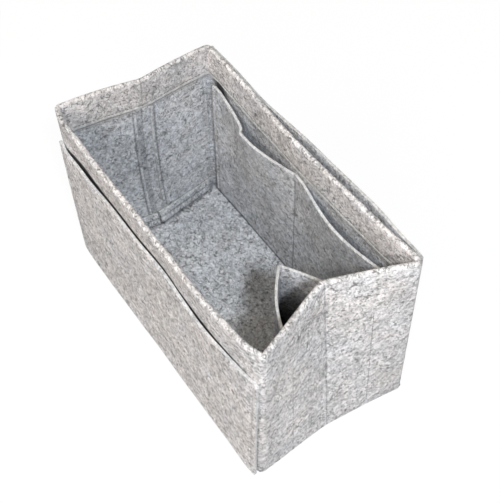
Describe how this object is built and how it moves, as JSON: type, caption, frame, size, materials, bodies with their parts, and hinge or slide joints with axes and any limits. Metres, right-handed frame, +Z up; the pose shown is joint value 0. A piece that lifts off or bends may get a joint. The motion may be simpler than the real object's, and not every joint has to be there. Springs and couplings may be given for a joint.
{
  "type": "purse organizer insert",
  "caption": "Open felt box insert for a handbag, with inner and outer slip pockets, a folded bottle pocket and creased end walls that fold in so that it packs flat.",
  "frame": {"origin": "on the ground under the middle of the insert", "axes": "+X along the long walls towards the end with the bottle pocket, -Y out of the front wall, +Z up out of the open top"},
  "size_m": [0.3, 0.172, 0.192],
  "materials": {
    "wall_felt": "matte needle felt, light grey with dark fibres",
    "pocket_felt": "matte needle felt, light grey with dark fibres",
    "floor_felt": "matte needle felt, light grey with dark fibres",
    "thread": "spun sewing thread"
  },
  "bodies": {
    "front": {"base_panel": "floor_felt", "front_wall": "wall_felt", "front_outer_pocket": "pocket_felt", "front_inner_pocket": "pocket_felt", "front_far_corner_strip": "wall_felt", "front_near_corner_strip": "wall_felt", "front_hem_thread": "thread", "front_outer_pocket_far_thread": "thread", "front_outer_pocket_near_thread": "thread", "front_inner_pocket_far_thread": "thread", "front_inner_pocket_divider_thread": "thread", "front_inner_pocket_near_thread": "thread"},
    "far_front": {"far_front_leaf": "wall_felt", "far_front_hem_thread": "thread", "far_front_base_margin": "floor_felt", "far_front_base_thread": "thread", "far_front_slip_pocket": "pocket_felt", "far_front_slip_corner_thread": "thread", "far_front_slip_crease_thread": "thread"},
    "far_back": {"far_back_leaf": "wall_felt", "far_back_hem_thread": "thread", "far_back_base_margin": "floor_felt", "far_back_base_thread": "thread", "far_back_slip_pocket": "pocket_felt", "far_back_slip_corner_thread": "thread", "far_back_slip_crease_thread": "thread"},
    "back": {"back_wall": "wall_felt", "back_outer_pocket": "pocket_felt", "back_inner_pocket": "pocket_felt", "back_far_corner_strip": "wall_felt", "back_near_corner_strip": "wall_felt", "back_hem_thread": "thread", "back_outer_pocket_far_thread": "thread", "back_outer_pocket_near_thread": "thread", "back_inner_pocket_far_thread": "thread", "back_inner_pocket_divider_thread": "thread", "back_inner_pocket_near_thread": "thread"},
    "near_front": {"near_front_leaf": "wall_felt", "near_front_hem_thread": "thread", "near_front_base_margin": "floor_felt", "near_front_base_thread": "thread", "near_front_upper_hem_thread": "thread", "near_front_bottle_thread": "thread"},
    "near_back": {"near_back_leaf": "wall_felt", "near_back_hem_thread": "thread", "near_back_base_margin": "floor_felt", "near_back_base_thread": "thread", "near_back_upper_hem_thread": "thread", "near_back_bottle_thread": "thread"},
    "bottle_front": {"bottle_pocket_front": "pocket_felt"},
    "bottle_back": {"bottle_pocket_back": "pocket_felt"}
  },
  "joints": [
    {"name": "fold", "type": "hinge", "parent": "front", "child": "far_front", "pos_m": [-0.14481, -0.0696, 0], "axis": [0, 0, -1], "range_deg": [0, 55], "deforming": ["base_panel"]},
    {"name": "far_crease", "type": "hinge", "parent": "far_front", "child": "far_back", "pos_m": [-0.13606, 0, 0], "axis": [0, 0, 1], "range_deg": [0, 110]},
    {"name": "far_back_corner", "type": "hinge", "parent": "far_back", "child": "back", "pos_m": [-0.14481, 0.0696, 0], "axis": [0, 0, -1], "range_deg": [0, 55]},
    {"name": "near_front_corner", "type": "hinge", "parent": "front", "child": "near_front", "pos_m": [0.14481, -0.0696, 0], "axis": [0, 0, 1], "range_deg": [0, 55]},
    {"name": "near_crease", "type": "hinge", "parent": "near_front", "child": "near_back", "pos_m": [0.13606, 0, 0], "axis": [0, 0, -1], "range_deg": [0, 110]},
    {"name": "bottle_front_seam", "type": "hinge", "parent": "near_front", "child": "bottle_front", "pos_m": [0.14088, -0.03774, 0], "axis": [0, 0, -1], "range_deg": [0, 40.1]},
    {"name": "bottle_back_seam", "type": "hinge", "parent": "near_back", "child": "bottle_back", "pos_m": [0.14088, 0.03774, 0], "axis": [0, 0, 1], "range_deg": [0, 40.1]}
  ],
  "couplings": [
    {"joint": "far_crease", "follows": "fold", "ratio": 2},
    {"joint": "far_back_corner", "follows": "fold", "ratio": 1},
    {"joint": "near_front_corner", "follows": "fold", "ratio": 1},
    {"joint": "near_crease", "follows": "fold", "ratio": 2},
    {"joint": "bottle_front_seam", "follows": "fold", "ratio": 0.72854},
    {"joint": "bottle_back_seam", "follows": "fold", "ratio": 0.72854}
  ]
}
